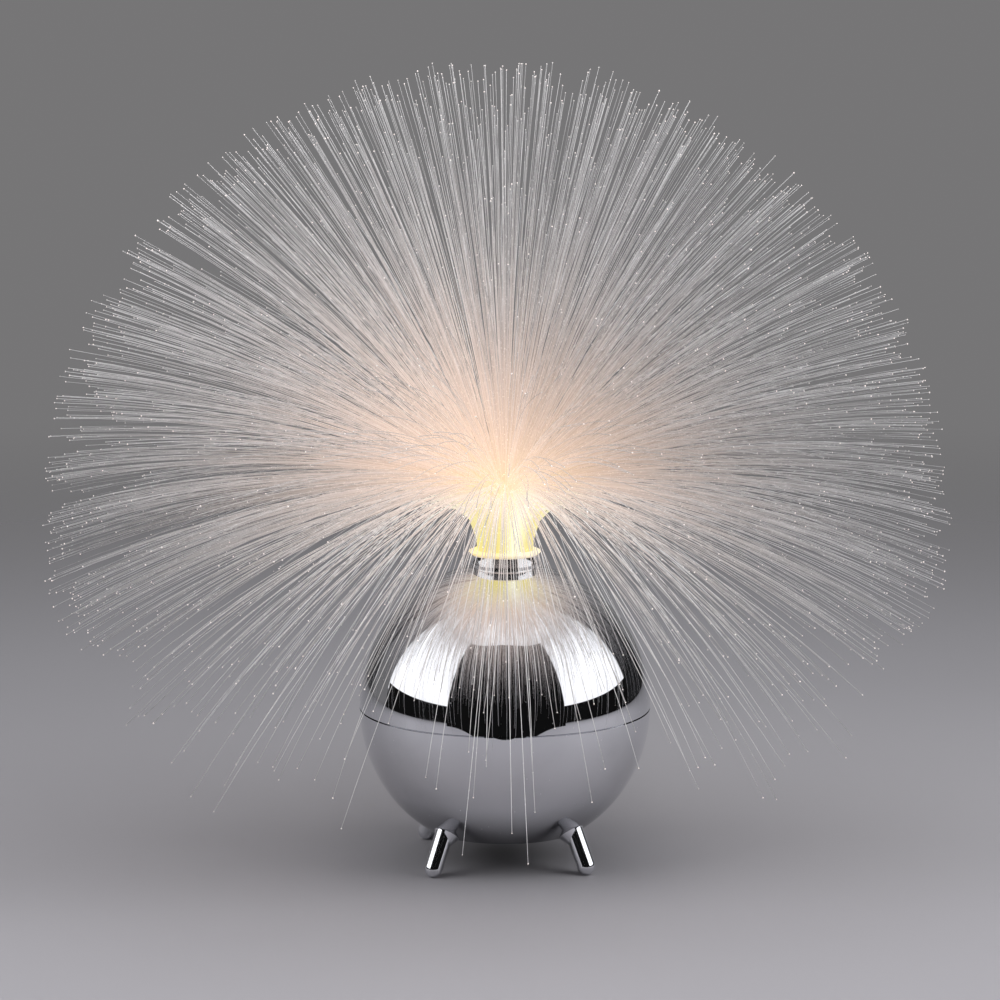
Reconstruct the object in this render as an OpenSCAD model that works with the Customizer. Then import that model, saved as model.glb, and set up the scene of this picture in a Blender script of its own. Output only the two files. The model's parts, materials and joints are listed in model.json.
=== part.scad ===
// Fibre optic table lamp: a chromed ball on four splayed feet with a fountain of light-guide fibres.
// Millimetres. +Z is up, the front faces -Y, the origin is on the floor under the middle of the ball.
// The lower shell carries the feet, the switch and the battery tray, with a sliding door under it.
// Four pillars on the tray's ears carry the light engine: lamp board, reflector, gear motor and
// colour wheel. The upper shell carries the neck collar, and the fibre ferrule stands in the collar
// and lifts out.

/* [Ball] */
// Outer radius of the chromed ball
ball_r = 60; // [59.5:0.5:70]
// Wall thickness of both shells
shell_wall = 2; // [1.6:0.1:2.4]
// Height of the flat underside above the floor
base_h = 13.5; // [12:0.5:20]
// Radius of the flat underside
base_r = 32.4; // [30:0.2:34]
// Thickness of the plate inside the flat underside
base_t = 3; // [2.8:0.1:3.6]
// Open joint that shows between the two shells
seam_gap = 0.6; // [0.3:0.1:1.2]
// Height of the tongue that centres the upper shell on the lower one
tongue_h = 5; // [4:0.5:8]
// Thickness of the tongue
tongue_t = 1.4; // [1:0.1:2]
// Radius of the snap bead round the tongue
bead_r = 0.5; // [0.3:0.1:0.7]

/* [Feet] */
// Radius of each of the four round rods
foot_r = 3.7; // [3:0.1:4.5]
// Distance of each foot's tip from the lamp's axis
foot_spread = 44; // [40:0.5:50]
// Lean of the rods from the vertical, in degrees
foot_lean = 26; // [20:1:32]
// Height of the worn flat at the tip of a foot
foot_flat = 0.3; // [0.1:0.1:0.6]
// Radius of the flared root where a foot meets the ball
foot_root_r = 5.8; // [5:0.1:6.4]
// Height of that root above the ball
foot_root_h = 4; // [2:0.1:5]
// Radius of the screw that holds a foot
foot_screw_r = 1.3; // [1:0.1:1.6]
// Depth of the screw in the foot
foot_screw_grip = 9; // [6:0.5:11]
// Radius of the screw's pan head
foot_head_r = 2.8; // [2.4:0.1:3.2]
// Height of the screw's pan head
foot_head_h = 2; // [1.5:0.1:2.5]
// Height of the boss under the screw's head
foot_boss_h = 4; // [3.4:0.1:5]
// Radius of that boss
foot_boss_r = 4; // [3.6:0.1:4.6]

/* [Neck] */
// Radius of the flat land that the collar stands on
land_r = 14.3; // [14:0.1:16]
// Radius of the collar just above the dome
collar_r = 13.4; // [13.4:0.1:13.9]
// Radius of the collar's rim
rim_r = 14.9; // [14.3:0.1:16.5]
// Height of the collar above the dome
collar_h = 6; // [5:0.5:9]
// Height over which the collar flares out to its rim
rim_h = 4.4; // [3.6:0.1:4.6]
// Chamfer on the rim
rim_chamfer = 0.5; // [0.2:0.1:0.8]
// Bore of the collar
collar_bore_r = 12.4; // [12.2:0.05:12.6]
// Radius of the collar's shank inside the dome
shank_r = 13.2; // [13:0.1:13.3]
// Length of the shank below the dome's land
shank_len = 22; // [20:0.5:24]
// Width of the ledge that the ferrule rests on
ledge_w = 1.1; // [0.8:0.1:1.4]
// Thickness of that ledge
ledge_t = 1; // [0.8:0.1:1.5]
// Radius of the moulded boss under the dome
neck_boss_r = 19; // [18:0.5:22]
// Thickness of the dome at the boss
neck_boss_t = 3.6; // [3:0.1:4.5]
// Outer radius of the nut that clamps the collar
nut_r = 17.5; // [16:0.5:18]
// Height of that nut
nut_h = 4; // [3:0.5:6]

/* [Fibre spray] */
// Wall of the ferrule round the bundle
ferrule_wall = 0.6; // [0.4:0.1:0.9]
// Depth of the potted slice's top below the collar's rim
ferrule_drop = 0.6; // [0.2:0.1:1.5]
// Height of the ferrule's clear lip above the collar's rim
lip_h = 1.6; // [1.4:0.1:2]
// Thickness of the potted slice that the strands grow from
slice_t = 1; // [0.6:0.1:1.6]
// Free length of the longest strand
fibre_len = 204; // [170:2:215]
// Radius of one strand
strand_r = 0.32; // [0.24:0.02:0.34]
// Distance between the rings of strands at the root
root_pitch = 1.1; // [1.06:0.01:1.12]
// Length over which a strand turns from upright to its own lean
bend_len = 52; // [44:1:62]
// Mean lean of the outermost ring of strands where it leaves the bend, in degrees
fringe_lean = 124; // [120:1:128]
// Scatter of the outermost ring's lean to either side, in degrees
fringe_scatter = 18; // [10:1:18]
// Droop of a level strand under its own weight, in degrees at the tip
level_droop = 17; // [10:1:19]
// Scatter of the other strands' lean to either side of their ring, in degrees
lean_scatter = 5; // [1:0.5:5]
// Share by which the shortest strands fall short
length_scatter = 0.05; // [0.01:0.01:0.08]

/* [Colour wheel] */
// Distance of the wheel's axis behind the light beam
wheel_offset = 15.5; // [15.2:0.1:16.2]
// Radius of the colour wheel
wheel_r = 27; // [25:0.5:27.5]
// Thickness of the wheel
wheel_t = 1.2; // [0.8:0.1:1.6]
// Width of the wheel's rim and spokes
wheel_band = 1.5; // [1:0.1:2]
// Radius of the wheel's hub
hub_r = 4; // [3:0.1:4.2]
// Depth of the hub below the wheel
hub_drop = 2.5; // [2:0.1:4]
// Thickness of one colour gel
gel_t = 0.3; // [0.2:0.05:0.5]
// Clear height between the gels and the collar's shank
wheel_gap = 2.5; // [1.5:0.1:3]
// Radius of the motor's output shaft
shaft_r = 1; // [0.8:0.05:1.2]
// Radius of the gear motor
motor_r = 6; // [5.5:0.1:6.2]
// Length of the motor's can below its bracket
can_h = 12.5; // [10:0.5:12.8]
// Clear height between the gearbox and the wheel
gear_gap = 7.5; // [6.8:0.1:8]
// Width of the flange on the gearbox
gear_flange_w = 0.8; // [0.5:0.1:0.9]
// Thickness of the motor's bracket
bracket_t = 1.2; // [0.8:0.1:1.6]

/* [Light engine] */
// Height of the reflector
reflector_h = 12; // [11:0.5:12.5]
// Radius of the reflector's mouth
reflector_r = 11.2; // [10:0.1:11.6]
// Radius of the reflector's foot
reflector_foot_r = 5.5; // [5:0.1:6]
// Wall of the reflector
reflector_wall = 0.8; // [0.6:0.1:1.2]
// Clear height between the reflector and the wheel
reflector_gap = 0.9; // [0.6:0.1:1.4]
// Radius of the lamp board
board_r = 8; // [7:0.1:8.2]
// Thickness of the lamp board
board_t = 1.6; // [1:0.1:2]
// Radius of the lamp's lens
lamp_r = 2.5; // [2:0.1:3]
// Radius of the chassis disc
chassis_r = 30; // [29:0.5:34]
// Thickness of the chassis disc
chassis_t = 2.4; // [2:0.1:2.6]
// Distance of the chassis pillars from the axis, to the left and right
pillar_x = 10; // [9:0.5:12]
// Distance of the chassis pillars from the axis, to the front and rear
pillar_y = 24; // [23.6:0.1:25]
// Radius of a chassis pillar
pillar_r = 3; // [2.6:0.1:3.2]
// Depth of the chassis screws in the pillars
pillar_grip = 7; // [5:0.5:12]
// Radius of the light engine's small screws
small_screw_r = 1; // [0.8:0.1:1.2]
// Radius of their heads
small_head_r = 1.9; // [1.6:0.1:2.2]
// Height of their heads
small_head_h = 1.2; // [1:0.1:1.6]

/* [Batteries] */
// Radius of one battery cell
cell_r = 5.25; // [4.9:0.05:5.35]
// Length of one battery cell with its nub
cell_len = 44.5; // [42:0.5:50]
// Clearance between neighbouring cells
cell_gap = 0.5; // [0.3:0.1:0.7]
// Clearance between the cells and the tray
cell_clear = 0.4; // [0.3:0.1:0.6]
// Height of the nub on a cell
nub_h = 1; // [0.8:0.1:1.4]
// Length of the pressed cell springs
spring_h = 3; // [2.4:0.1:3.4]
// Radius of a cell spring's wire
spring_wire_r = 0.3; // [0.2:0.05:0.35]
// Thickness of the contact plates
contact_t = 0.3; // [0.2:0.05:0.5]
// Wall of the battery tray
tray_wall = 1.5; // [1.2:0.1:1.7]
// Radius of the tray's ears
tray_ear_r = 4.2; // [3.8:0.1:4.6]
// Thickness of the tray's ears
tray_ear_t = 2; // [1.6:0.1:2.4]

/* [Battery door] */
// Thickness of the sliding door
door_t = 2; // [1.8:0.1:2.2]
// Width of the door beyond the battery bay
door_edge = 1.6; // [1.4:0.1:1.8]
// Width of the tongues that run in the base
door_tongue_w = 1.2; // [0.9:0.1:1.3]
// Running clearance round the door
door_gap = 0.2; // [0.15:0.05:0.3]
// Length of the thumb grooves across the door
thumb_w = 14; // [10:0.5:20]
// Depth of the thumb grooves
thumb_depth = 0.5; // [0.3:0.1:0.8]

/* [Switch] */
// Angle of the switch below the ball's middle, in degrees, at the rear
switch_drop = 22; // [16:1:26]
// Travel of the switch's knob
switch_travel = 4; // [3:0.5:5]
// Length of the knob along its travel
knob_len = 6; // [5:0.5:7]
// Height of the knob across its travel
knob_w = 4; // [3:0.2:4.4]
// Height that the knob stands out of the ball
knob_out = 2.2; // [1.5:0.1:3]
// Clearance of the knob in its slot
knob_gap = 0.3; // [0.25:0.05:0.5]
// Depth of the switch's case
case_depth = 8; // [7:0.5:10]
// Distance of the switch's screws from its middle
switch_screw_at = 14; // [13.6:0.1:15]
// Thickness of the ears of the switch's case
ear_t = 1.6; // [1.2:0.1:2]

/* [Hidden] */
$fn = 96;
eps = 0.01;
fit = 0.05;        // radial clearance of a close fit
seat = 0.3;        // clearance between a moving piece and its seat

// Ball
ball_z = base_h + sqrt(ball_r * ball_r - base_r * base_r);
inner_r = ball_r - shell_wall;
plate_z = base_h + base_t;
tongue_r = sqrt(inner_r * inner_r - tongue_h * tongue_h) - fit;
tongue_root = 10;
big = 3 * ball_r;

// Feet: each rod's axis meets the ball at foot_reach from the middle of the tip
foot_az = [-135, -45, 135, 45];
tip_z = foot_r - foot_flat;
tip_drop = ball_z - tip_z;
toward = foot_spread * sin(foot_lean) + tip_drop * cos(foot_lean);
miss = foot_spread * foot_spread + tip_drop * tip_drop - toward * toward;
foot_reach = toward - sqrt(ball_r * ball_r - miss);
boss_reach = toward - sqrt(inner_r * inner_r - miss) + foot_boss_h - shell_wall;
root_lean = foot_lean + asin(sqrt(miss) / ball_r) - 1.5;    // angle of the root from straight down

// Neck
land_z = ball_z + sqrt(ball_r * ball_r - land_r * land_r);
rim_z = land_z + collar_h;
shank_z = land_z - shank_len;
boss_z = land_z - neck_boss_t;

// Ferrule and spray
ferrule_r = collar_bore_r - 2 * fit;
ferrule_z = shank_z + ledge_t + seat;
ferrule_top = rim_z - ferrule_drop;
bundle_r = ferrule_r - ferrule_wall - fit;
slice_z = ferrule_top - slice_t;
wedges = 6;
wedge_angle = 360 / wedges;
rings = 10;
path_steps = 40;
stations = [0, 5, 12, path_steps];    // steps of the path where a strand has a corner
cone_share = 0.92;     // share of the strands inside the even cone, the rest make the fringe
cone_span = 1.14;      // one minus the cosine of the lean at the cone's edge
base_droop = 4;
droop_power = 1.25;
golden = 137.5;
ring_shift = 0.7;      // places the inner rings closer to the upright
spray_turn = 45;       // turns the wedges so that the spray reaches as far sideways as front to back

// Colour wheel and gear motor, hung below the collar's shank
gel_top = shank_z - wheel_gap;
wheel_top = gel_top - gel_t;
wheel_z = wheel_top - wheel_t;
gear_top = wheel_z - gear_gap;
gel_span = 88;
gel_angles = [["amber", 180], ["rose", 90], ["blue", 0]];

// Light engine
mouth_z = wheel_z - reflector_gap;
board_top = mouth_z - reflector_h;
chassis_top = board_top - board_t;
chassis_z = chassis_top - chassis_t;
bracket_top = chassis_top + bracket_t;
bracket_r = motor_r + 1;
ear_at = motor_r + 5;
ear_r = 2.6;

// Batteries, lying side by side between the tray and the door
bay_l = spring_h + cell_len + contact_t;
bay_w = 6 * cell_r + 2 * cell_gap + 2 * cell_clear;
cell_z = base_h + door_t + cell_clear + cell_r;
tray_in_z = cell_z + cell_r + cell_clear;
tray_top = tray_in_z + tray_wall;
door_x = bay_l / 2 + door_edge;
door_y = bay_w / 2 + door_edge;
tongue_z = base_h + 0.55 * door_t;
pillar_foot_z = plate_z + tray_ear_t;
head_pocket = small_head_h + 0.2;

// Switch, in a frame turned about the ball's middle so that +Y leaves the shell
case_len = 2 * (switch_screw_at - 4);
case_w = knob_w + 4;
case_face = sqrt(inner_r * inner_r - case_len * case_len / 4 - case_w * case_w / 4) - 0.2;
slot_len = knob_len + switch_travel + 2 * knob_gap;
knob_at = -switch_travel / 2;

// ---------------------------------------------------------------- shared geometry

function unit(v) = v / norm(v);

// Closed tube of flat triangles along a list of points, with the given radius and sides
module tube(points, r, sides) {
    n = len(points);
    ref = [0.31, 0.52, 0.79];
    tangents = [for (i = [0:n - 1]) unit(points[min(i + 1, n - 1)] - points[max(i - 1, 0)])];
    verts = [
        for (i = [0:n - 1])
            let (u = unit(cross(tangents[i], ref)), v = cross(tangents[i], u))
                for (k = [0:sides - 1]) points[i] + r * (cos(360 * k / sides) * u + sin(360 * k / sides) * v)
    ];
    side_faces = [
        for (i = [0:n - 2], k = [0:sides - 1])
            let (a = i * sides + k, b = i * sides + (k + 1) % sides)
                each [[a, b, b + sides], [a, b + sides, a + sides]]
    ];
    caps = [
        for (k = [1:sides - 2]) each [
            [0, k + 1, k],
            [(n - 1) * sides, (n - 1) * sides + k, (n - 1) * sides + k + 1]
        ]
    ];
    polyhedron(verts, concat(side_faces, caps));
}

module half_space_above(z) {
    translate([-big, -big, z]) cube([2 * big, 2 * big, 2 * big]);
}

module ball(r) {
    translate([0, 0, ball_z]) sphere(r);
}

module ring(r_out, r_in, z, h) {
    translate([0, 0, z]) difference() {
        cylinder(r = r_out, h = h);
        translate([0, 0, -1]) cylinder(r = r_in, h = h + 2);
    }
}

// Block centred on the axis
module block(l, w, z, h) {
    translate([-l / 2, -w / 2, z]) cube([l, w, h]);
}

// Slice of a ring between two angles
module sector(r_in, r_out, z, h, from, span) {
    rotate([0, 0, from]) translate([0, 0, z]) rotate_extrude(angle = span)
        translate([r_in, 0]) square([r_out - r_in, h]);
}

// Pan-headed screw: the head stands on z = 0 and the shank points down
module screw(r, length, head_r, head_h) {
    difference() {
        union() {
            translate([0, 0, -length]) cylinder(r = r, h = length + eps);
            cylinder(r = head_r, h = head_h);
        }
        translate([-head_r * 0.6, -head_h * 0.2, head_h * 0.5]) cube([head_r * 1.2, head_h * 0.4, head_h]);
        translate([-head_h * 0.2, -head_r * 0.6, head_h * 0.5]) cube([head_h * 0.4, head_r * 1.2, head_h]);
    }
}

// ---------------------------------------------------------------- shells and neck

module snap_ring(r) {
    translate([0, 0, ball_z + tongue_h / 2]) rotate_extrude() translate([tongue_r, 0]) circle(r, $fn = 24);
}

module upper_shell() {
    color("silver") difference() {
        union() {
            difference() {
                ball(ball_r);
                ball(inner_r);
            }
            intersection() {
                ball(ball_r - shell_wall / 2);
                translate([0, 0, boss_z]) cylinder(r = neck_boss_r, h = ball_r);
            }
        }
        translate([0, 0, ball_z + seam_gap / 2 - 2 * ball_r]) cylinder(r = big, h = 2 * ball_r);
        half_space_above(land_z);
        translate([0, 0, shank_z]) cylinder(r = shank_r + fit, h = ball_r);
        snap_ring(bead_r + 2 * fit);
    }
}

module foot_frame(az) {
    rotate([0, 0, az]) translate([foot_spread, 0, tip_z]) rotate([0, -foot_lean, 0]) children();
}

module at_pillars() {
    for (x = [-pillar_x, pillar_x], y = [-pillar_y, pillar_y]) translate([x, y, 0]) children();
}

module switch_frame() {
    translate([0, 0, ball_z]) rotate([-switch_drop, 0, 0]) children();
}

module lower_shell() {
    color("silver") difference() {
        union() {
            difference() {
                ball(ball_r);
                intersection() {
                    ball(inner_r);
                    half_space_above(plate_z);
                }
                half_space_above(ball_z - seam_gap / 2);
                translate([0, 0, base_h - 2 * ball_r]) cylinder(r = big, h = 2 * ball_r);
            }
            intersection() {
                ring(tongue_r, tongue_r - tongue_t, ball_z - tongue_root, tongue_root + tongue_h);
                ball(ball_r - shell_wall / 2);
            }
            snap_ring(bead_r);
            for (az = foot_az) intersection() {
                foot_frame(az) cylinder(r = foot_boss_r, h = boss_reach);
                ball(ball_r - shell_wall / 2);
            }
            for (side = [-1, 1]) intersection() {
                switch_frame() translate([side * switch_screw_at, case_face - ear_t, 0]) rotate([-90, 0, 0])
                    cylinder(r = 2.6, h = ball_r);
                ball(ball_r - shell_wall / 2);
            }
        }
        for (az = foot_az) foot_frame(az) cylinder(r = foot_screw_r + fit, h = boss_reach + 1);
        door_slab(door_gap);
        block(bay_l, bay_w, tongue_z, base_t);
        at_pillars() translate([0, 0, base_h - 1]) {
            cylinder(r = small_head_r + fit, h = head_pocket + 1);
            cylinder(r = small_screw_r + fit, h = base_t + 2);
        }
        switch_frame() translate([-slot_len / 2, case_face, -knob_w / 2 - knob_gap])
            cube([slot_len, ball_r, knob_w + 2 * knob_gap]);
        for (side = [-1, 1]) switch_frame() translate([side * switch_screw_at, case_face - ear_t - 1, 0])
            rotate([-90, 0, 0]) cylinder(r = small_screw_r + fit, h = ear_t + 1 + 1.4);
    }
}

module neck_collar() {
    waist_z = rim_z - rim_h;
    color("gainsboro") rotate_extrude() polygon([
        [collar_bore_r - ledge_w, shank_z],
        [shank_r, shank_z],
        [shank_r, land_z],
        [collar_r, land_z],
        [collar_r, waist_z],
        [rim_r, rim_z - rim_chamfer],
        [rim_r - rim_chamfer, rim_z],
        [collar_bore_r + 0.6, rim_z],
        [collar_bore_r, rim_z - 0.6],
        [collar_bore_r, shank_z + ledge_t],
        [collar_bore_r - ledge_w, shank_z + ledge_t]
    ]);
}

module collar_nut() {
    grip_w = 3;
    color("darkgray") difference() {
        ring(nut_r, shank_r + fit, boss_z - nut_h, nut_h);
        for (a = [0:60:300]) rotate([0, 0, a]) translate([nut_r - 1.2, -grip_w / 2, boss_z - nut_h - 1])
            cube([3, grip_w, nut_h + 2]);
    }
}

// ---------------------------------------------------------------- feet

module foot(az) {
    color("gainsboro") difference() {
        union() {
            foot_frame(az) sphere(foot_r);
            foot_frame(az) cylinder(r = foot_r, h = foot_reach + foot_r);
            rotate([0, 0, az]) translate([0, 0, ball_z]) rotate([0, 180 - root_lean, 0])
                translate([0, 0, ball_r - 1])
                    cylinder(r1 = foot_root_r, r2 = foot_r - 0.4, h = foot_root_h + 1);
        }
        foot_frame(az) translate([0, 0, foot_reach - foot_screw_grip - 1])
            cylinder(r = foot_screw_r + fit, h = ball_r);
        ball(ball_r);
        translate([-big, -big, -big]) cube([2 * big, 2 * big, big]);
    }
}

module foot_screws() {
    color("slategray") for (az = foot_az) foot_frame(az) translate([0, 0, boss_reach])
        screw(foot_screw_r, boss_reach - foot_reach + foot_screw_grip, foot_head_r, foot_head_h);
}

// ---------------------------------------------------------------- fibre spray

module fibre_ferrule() {
    color("khaki") rotate_extrude() polygon([
        [ferrule_r - ferrule_wall, ferrule_z],
        [ferrule_r, ferrule_z],
        [ferrule_r, rim_z - 0.4],
        [ferrule_r + 0.7, rim_z + 0.3],
        [rim_r - 0.3, rim_z + 0.3],
        [rim_r, rim_z + 0.6],
        [rim_r - 0.2, rim_z + 0.8],
        [ferrule_r + 0.4, rim_z + lip_h],
        [ferrule_r - ferrule_wall, ferrule_top]
    ]);
}

module fibre_bundle() {
    color("khaki") translate([0, 0, ferrule_z]) cylinder(r = bundle_r, h = slice_z - ferrule_z);
}

// Repeatable scatter between -1 and 1 for strand j of ring k
function scatter(k, j) = sin(golden * (9 * k + 5 * j));

// Lean that a strand of ring k takes: even over a cone, with a steeper fringe outside it
function ring_lean(k) =
    let (share = pow((k - ring_shift) / (rings - ring_shift), 2))
        share <= cone_share ? acos(1 - cone_span * share / cone_share) : fringe_lean;

function tip_droop(lean) = base_droop + level_droop * pow(sin(lean), 1.5);

function ease(t) = let (c = min(1, max(0, t))) c * c * (3 - 2 * c);

// Angle from the vertical at distance s along a strand of length l
function strand_angle(s, l, lean) = lean * ease(s / bend_len) + tip_droop(lean) * pow(s / l, droop_power);

// Points [radius, height, angle] along a strand, in equal steps from its root
function strand_path(k, l, lean) =
    let (step = l / path_steps) [
        for (
            i = 0, r = k * root_pitch, z = slice_z + slice_t / 2;
            i <= path_steps;
            r = r + step * sin(strand_angle((i + 0.5) * step, l, lean)),
            z = z + step * cos(strand_angle((i + 0.5) * step, l, lean)),
            i = i + 1
        ) [r, z, strand_angle(i * step, l, lean)]
    ];

module strand(k, j) {
    lean = ring_lean(k) + (k == rings ? fringe_scatter : lean_scatter) * scatter(k, j);
    path = strand_path(k, fibre_len * (1 - length_scatter * abs(scatter(j, k + 3))), lean);
    n = len(stations);
    verts = [
        for (i = stations, a = [0, 120, 240])
            let (p = path[i]) [
                p[0] + strand_r * cos(a) * cos(p[2]),
                strand_r * sin(a),
                p[1] - strand_r * cos(a) * sin(p[2])
            ]
    ];
    faces = [
        for (i = [0:n - 2], c = [0:2])
            let (a = 3 * i + c, b = 3 * i + (c + 1) % 3)
                each [[a, b + 3, b], [a, a + 3, b + 3]]
    ];
    polyhedron(verts, concat(faces, [[0, 1, 2], [3 * n - 1, 3 * n - 2, 3 * n - 3]]));
}

module fibre_spray(w) {
    color("white") rotate([0, 0, w * wedge_angle + spray_turn]) {
        sector(0, bundle_r, slice_z, slice_t, 0, wedge_angle);
        for (k = [1:rings], j = [0:k - 1]) rotate([0, 0, (j + 0.5) * wedge_angle / k]) strand(k, j);
    }
}

// ---------------------------------------------------------------- colour wheel and gear motor

module at_wheel() {
    translate([0, wheel_offset, 0]) children();
}

module wheel_frame() {
    color("whitesmoke") at_wheel() difference() {
        union() {
            ring(wheel_r, wheel_r - wheel_band, wheel_z, wheel_t);
            translate([0, 0, wheel_z - hub_drop]) cylinder(r = hub_r, h = hub_drop + wheel_t);
            for (a = [0, 90]) rotate([0, 0, a]) block(2 * wheel_r - wheel_band, wheel_band, wheel_z, wheel_t);
        }
        translate([0, 0, wheel_z - hub_drop - 1])
            cylinder(r = shaft_r + fit / 2, h = hub_drop + 1 + wheel_t / 2);
    }
}

module gel(i) {
    at_wheel() sector(hub_r, wheel_r - wheel_band / 2, wheel_top, gel_t, gel_angles[i][1] + 1, gel_span);
}

module gel_amber() {
    color([1, 0.6, 0.1]) gel(0);
}

module gel_rose() {
    color([0.95, 0.3, 0.45]) gel(1);
}

module gel_blue() {
    color([0.2, 0.4, 0.95]) gel(2);
}

module motor_shaft() {
    color("lightsteelblue") at_wheel() translate([0, 0, gear_top - 3])
        cylinder(r = shaft_r, h = gear_gap + 3 + wheel_t / 2 - fit);
}

module motor_can() {
    boss_r = 1.5;
    color("silver") at_wheel() union() {
        translate([0, 0, bracket_top - can_h]) cylinder(r = motor_r, h = can_h);
        translate([0, 0, bracket_top - can_h - 0.4]) cylinder(r = boss_r, h = 1);
    }
}

module motor_gearbox() {
    color("goldenrod") at_wheel() difference() {
        union() {
            translate([0, 0, bracket_top]) cylinder(r = motor_r, h = gear_top - bracket_top);
            translate([0, 0, bracket_top]) cylinder(r = motor_r + gear_flange_w, h = 1);
            translate([0, 0, gear_top - eps]) cylinder(r = 2.4, h = 1);
        }
        translate([0, 0, gear_top - 3.2]) cylinder(r = shaft_r + fit, h = 5);
    }
}

module motor_bracket() {
    color("lightgray") at_wheel() difference() {
        union() {
            translate([0, 0, chassis_top]) cylinder(r = bracket_r, h = bracket_t);
            for (side = [-1, 1]) translate([side * ear_at, 0, chassis_top])
                cylinder(r = ear_r, h = bracket_t);
            block(2 * ear_at, 1.2 * ear_r, chassis_top, bracket_t);
        }
        translate([0, 0, chassis_top - 1]) cylinder(r = motor_r + fit, h = bracket_t + 2);
        for (side = [-1, 1]) translate([side * ear_at, 0, chassis_top - 1])
            cylinder(r = small_screw_r + fit, h = bracket_t + 2);
    }
}

module bracket_screws() {
    color("slategray") at_wheel() for (side = [-1, 1]) translate([side * ear_at, 0, bracket_top])
        screw(small_screw_r, bracket_t + chassis_t * 0.8, small_head_r, small_head_h);
}

// ---------------------------------------------------------------- light engine

module chassis() {
    color([0.2, 0.2, 0.22]) difference() {
        union() {
            translate([0, 0, chassis_z]) cylinder(r = chassis_r, h = chassis_t);
            at_pillars() translate([0, 0, pillar_foot_z])
                cylinder(r = pillar_r, h = chassis_z - pillar_foot_z + eps);
        }
        at_wheel() translate([0, 0, chassis_z - 1]) cylinder(r = motor_r + seat, h = chassis_t + 2);
        at_pillars() translate([0, 0, pillar_foot_z - 1])
            cylinder(r = small_screw_r + fit, h = pillar_grip + 2);
        at_wheel() for (side = [-1, 1]) translate([side * ear_at, 0, chassis_z - 1])
            cylinder(r = small_screw_r + fit, h = chassis_t + 2);
    }
}

module chassis_screws() {
    color("slategray") at_pillars() translate([0, 0, base_h + head_pocket]) rotate([180, 0, 0])
        screw(small_screw_r, pillar_foot_z + pillar_grip - base_h - head_pocket, small_head_r, small_head_h);
}

module lamp_board() {
    color("darkgreen") difference() {
        translate([0, 0, chassis_top]) cylinder(r = board_r, h = board_t);
        for (a = [45, 225]) rotate([0, 0, a]) translate([board_r - 1.3, 0, chassis_top - 1])
            cylinder(r = 0.5, h = board_t + 2, $fn = 24);
    }
}

module lamp_lens() {
    color("lemonchiffon") union() {
        translate([0, 0, board_top]) cylinder(r = lamp_r + 0.4, h = 0.8);
        translate([0, 0, board_top]) cylinder(r = lamp_r, h = 2.4);
        translate([0, 0, board_top + 2.4]) sphere(lamp_r);
    }
}

module reflector() {
    color("lightgray") rotate_extrude() polygon([
        [lamp_r + 0.8, board_top],
        [reflector_foot_r, board_top],
        [reflector_foot_r, board_top + 2],
        [reflector_r, mouth_z],
        [reflector_r - reflector_wall, mouth_z],
        [reflector_foot_r - reflector_wall, board_top + 2.4],
        [lamp_r + 0.8, board_top + 1]
    ]);
}

// ---------------------------------------------------------------- batteries

module battery_tray() {
    color([0.2, 0.2, 0.22]) difference() {
        union() {
            intersection() {
                block(bay_l + 2 * tray_wall, bay_w + 2 * tray_wall, plate_z, tray_top - plate_z);
                ball(inner_r - seat);
            }
            at_pillars() translate([0, 0, plate_z]) cylinder(r = tray_ear_r, h = tray_ear_t);
            for (side = [-1, 1]) translate([side * pillar_x, 0, 0])
                block(2 * tray_ear_r, 2 * pillar_y, plate_z, tray_ear_t);
        }
        block(bay_l, bay_w, plate_z - 1, tray_in_z - plate_z + 1);
        at_pillars() translate([0, 0, plate_z - 1]) cylinder(r = small_screw_r + fit, h = tray_ear_t + 2);
    }
}

// Frame of one cell: the axis runs from its spring to its contact plate, the middle cell reversed
module at_cell(i) {
    translate([0, (i - 1) * (2 * cell_r + cell_gap), cell_z]) rotate([0, 90, i == 1 ? 180 : 0])
        translate([0, 0, -bay_l / 2]) children();
}

module battery_cell(i) {
    color("steelblue") at_cell(i) union() {
        translate([0, 0, spring_h]) cylinder(r = cell_r, h = cell_len - nub_h);
        translate([0, 0, spring_h]) cylinder(r = cell_r / 3, h = cell_len);
    }
}

module cell_springs() {
    turns = 2.5;
    per_turn = 10;
    steps = turns * per_turn;
    coil_r = 0.7 * cell_r;
    rise = spring_h - 2 * spring_wire_r;
    color("lightgray") for (i = [0:2]) at_cell(i) translate([0, 0, spring_wire_r])
        tube([
            for (s = [0:steps])
                let (a = 360 * s / per_turn, r = coil_r * (1 - 0.45 * s / steps))
                    [r * cos(a), r * sin(a), rise * s / steps]
        ], spring_wire_r, 5);
}

module cell_contacts() {
    color("gold") for (i = [0:2]) at_cell(i) translate([0, 0, spring_h + cell_len])
        cylinder(r = 0.8 * cell_r, h = contact_t);
}

// T-shaped slab of the battery door, open towards +X; grown by a gap it cuts its own slot
module door_slab(gap) {
    hem = door_y - door_tongue_w;
    intersection() {
        union() {
            translate([-door_x - gap, -hem - gap, base_h - gap])
                cube([big, 2 * (hem + gap), door_t + 2 * gap]);
            translate([-door_x - gap, -door_y - gap, tongue_z - gap])
                cube([big, 2 * (door_y + gap), base_h + door_t - tongue_z + 2 * gap]);
        }
        union() {
            translate([0, 0, base_h - 1]) cylinder(r = base_r - 1 + gap, h = base_t);
            translate([0, -ball_r, base_h - 1]) cube([big, 2 * ball_r, base_t]);
        }
    }
}

module battery_door() {
    grooves = [0.7, 0.76, 0.82];
    color([0.16, 0.16, 0.17]) difference() {
        intersection() {
            door_slab(0);
            ball(ball_r);
        }
        for (share = grooves) translate([share * base_r, 0, 0])
            block(1, thumb_w, base_h - 1, thumb_depth + 1);
    }
}

// ---------------------------------------------------------------- switch and wires

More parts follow.
